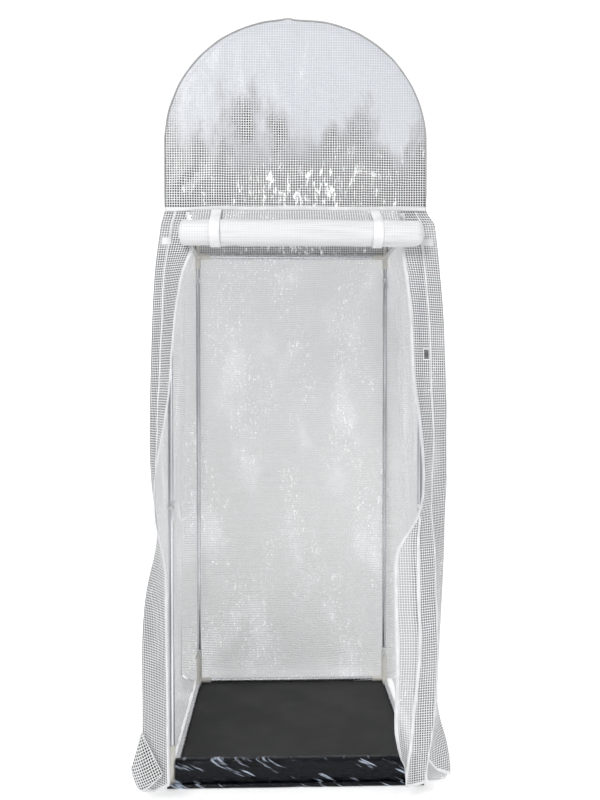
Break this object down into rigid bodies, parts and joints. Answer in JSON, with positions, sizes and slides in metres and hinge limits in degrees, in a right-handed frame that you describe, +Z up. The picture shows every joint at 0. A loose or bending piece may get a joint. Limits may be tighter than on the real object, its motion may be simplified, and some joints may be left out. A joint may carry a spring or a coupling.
{
  "type": "mini pop up greenhouse",
  "caption": "Tall narrow film greenhouse with an arched top, a push-fit tube frame, loose front flaps and a door rolled up under the eave.",
  "frame": {"origin": "on the ground under the middle of the tube frame", "axes": "+Z up, the doorway faces -Y, +X to the right as seen from the front"},
  "size_m": [0.88, 0.8857, 2.1928],
  "materials": {
    "steel_tube": "satin",
    "white_moulding": "satin",
    "grid_film": "gloss",
    "rolled_film": "gloss",
    "white_tape": "satin",
    "zip_tape": "satin",
    "black_film": "gloss",
    "floor_film": "matte",
    "zip_metal": "satin",
    "eyelet_metal": "satin"
  },
  "bodies": {
    "frame_and_cover": {"floor_sheet": "floor_film", "door_sill": "black_film", "sill_hem": "black_film", "base_tube_front": "steel_tube", "base_tube_back": "steel_tube", "base_tube_left": "steel_tube", "base_tube_right": "steel_tube", "base_corner_front_left": "white_moulding", "base_corner_front_right": "white_moulding", "base_corner_back_left": "white_moulding", "base_corner_back_right": "white_moulding", "upright_lower_front_left": "steel_tube", "upright_lower_front_right": "steel_tube", "upright_lower_back_left": "steel_tube", "upright_lower_back_right": "steel_tube", "upright_upper_front_left": "steel_tube", "upright_upper_front_right": "steel_tube", "upright_upper_back_left": "steel_tube", "upright_upper_back_right": "steel_tube", "eave_corner_front_left": "white_moulding", "eave_corner_front_right": "white_moulding", "eave_corner_back_left": "white_moulding", "eave_corner_back_right": "white_moulding", "eave_tube_front": "steel_tube", "eave_tube_back": "steel_tube", "eave_tube_left": "steel_tube", "eave_tube_right": "steel_tube", "arch_rod_front_left": "steel_tube", "arch_rod_front_right": "steel_tube", "arch_rod_back_left": "steel_tube", "arch_rod_back_right": "steel_tube", "apex_connector_front": "white_moulding", "apex_connector_back": "white_moulding", "ridge_rod": "steel_tube", "arch_sleeve_front": "white_tape", "arch_sleeve_back": "white_tape", "gable_front": "grid_film", "gable_back": "grid_film", "roof_panel": "grid_film", "wall_left": "grid_film", "wall_right": "grid_film", "wall_back": "grid_film", "flap_top_left": "grid_film", "flap_top_right": "grid_film", "eave_tape": "white_tape", "zip_top_left": "zip_tape", "zip_top_right": "zip_tape", "bow_tie_left": "white_tape", "ties": "white_tape"},
    "left_flap": {"flap_left": "grid_film"},
    "right_flap": {"flap_right": "grid_film", "eyelet_patch": "white_tape", "eyelet": "eyelet_metal"},
    "door_roll": {"door_roll": "rolled_film", "roll_straps": "white_tape"},
    "left_zip_slider": {"zip_slider_left": "zip_metal"},
    "right_zip_slider": {"zip_slider_right": "zip_metal"},
    "left_zip_pull": {"zip_pull_left": "zip_metal"},
    "right_zip_pull": {"zip_pull_right": "zip_metal"}
  },
  "joints": [
    {"name": "left_flap_fold", "type": "hinge", "parent": "frame_and_cover", "child": "left_flap", "pos_m": [-0.44, -0.415, 0], "axis": [-0.0229, -0.0196, -0.9995], "range_deg": [-30, 120]},
    {"name": "right_flap_fold", "type": "hinge", "parent": "frame_and_cover", "child": "right_flap", "pos_m": [0.44, -0.415, 0], "axis": [-0.0229, 0.0196, 0.9995], "range_deg": [-30, 120]},
    {"name": "door_roll_swing", "type": "hinge", "parent": "frame_and_cover", "child": "door_roll", "pos_m": [0, -0.3752, 1.661], "axis": [-1, 0, 0], "range_deg": [0, 60]},
    {"name": "left_zip_slide", "type": "slide", "parent": "frame_and_cover", "child": "left_zip_slider", "axis": [0, -0.0988, -0.9951], "range_m": [0, 0.03]},
    {"name": "left_pull_swing", "type": "hinge", "parent": "left_zip_slider", "child": "left_zip_pull", "pos_m": [-0.3, -0.38319, 1.63433], "axis": [-1, 0, 0], "range_deg": [0, 150]},
    {"name": "right_zip_slide", "type": "slide", "parent": "frame_and_cover", "child": "right_zip_slider", "axis": [0, -0.0988, -0.9951], "range_m": [0, 0.03]},
    {"name": "right_pull_swing", "type": "hinge", "parent": "right_zip_slider", "child": "right_zip_pull", "pos_m": [0.3, -0.38319, 1.63433], "axis": [-1, 0, 0], "range_deg": [0, 150]}
  ]
}
